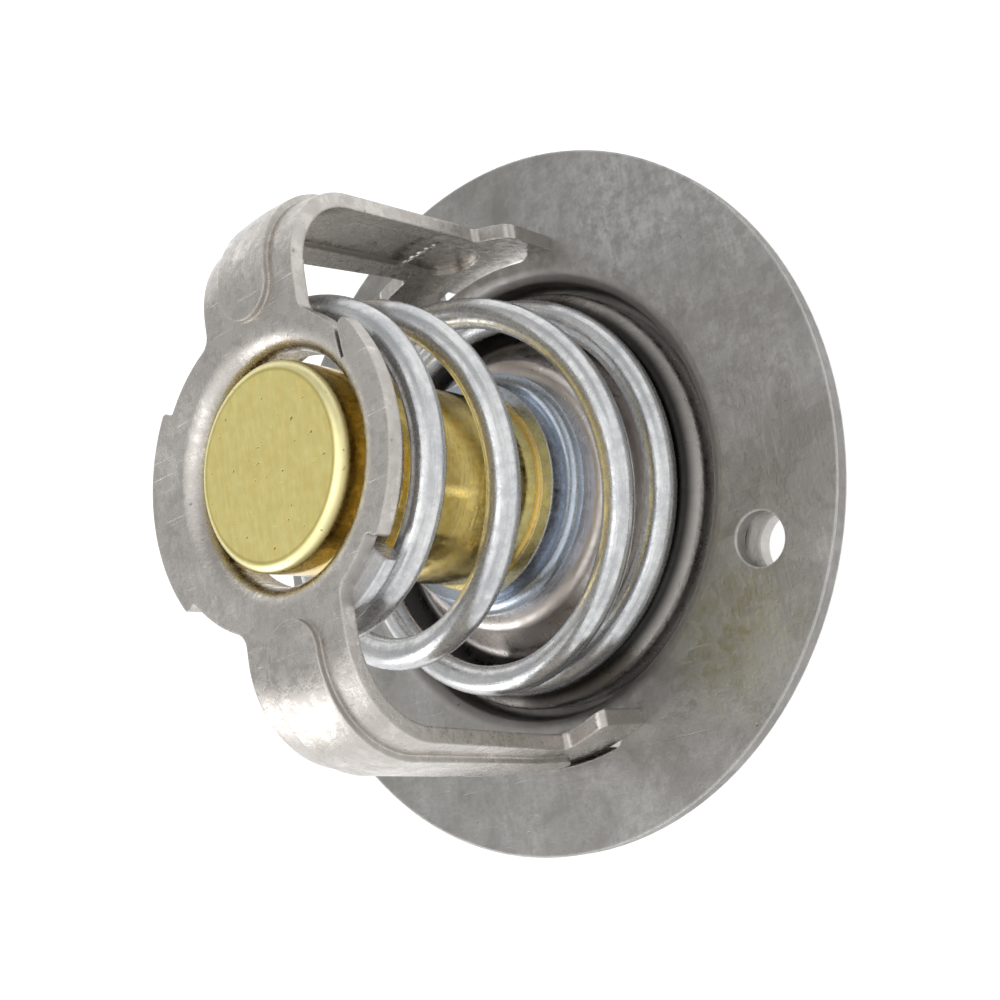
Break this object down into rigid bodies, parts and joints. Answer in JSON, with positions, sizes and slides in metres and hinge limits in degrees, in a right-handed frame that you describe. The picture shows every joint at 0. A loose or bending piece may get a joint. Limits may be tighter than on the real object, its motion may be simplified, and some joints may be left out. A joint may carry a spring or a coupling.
{
  "type": "engine thermostat",
  "caption": "Wax element valve on a round pressed flange, with a coil return spring in a ribbed pressed frame and a bridge that holds the piston.",
  "frame": {"origin": "on the valve's axis, in the plane of the flange's face on the capsule side", "axes": "+Z along the valve's axis towards the capsule, +Y towards one arm of the spring frame"},
  "size_m": [0.055, 0.055, 0.0437],
  "materials": {
    "flange": "rolled, mottled and lightly stained",
    "bridge": "rolled, dull",
    "spring_frame": "rolled, patchy shine",
    "main_spring": "zinc plated wire, bluish",
    "valve_disc": "rolled, smooth",
    "valve_collar": "drawn, smooth",
    "capsule": "turned, small specks and scratches",
    "capsule_cover": "turned",
    "guide_washer": "smooth",
    "rubber_sleeve": "matt",
    "wax_charge": "waxy",
    "piston": "polished"
  },
  "bodies": {
    "body": {"flange": "flange", "bridge": "bridge", "spring_frame": "spring_frame", "main_spring": "main_spring", "piston": "piston"},
    "valve": {"valve_disc": "valve_disc", "valve_collar": "valve_collar", "capsule": "capsule", "capsule_cover": "capsule_cover", "guide_washer": "guide_washer", "rubber_sleeve": "rubber_sleeve", "wax_charge": "wax_charge"}
  },
  "joints": [
    {"name": "valve_lift", "type": "slide", "parent": "body", "child": "valve", "axis": [0, 0, 1], "range_m": [0, 0.008], "stiffness_N_per_m": 6400, "springref_m": -0.012, "deforming": ["main_spring"]}
  ]
}
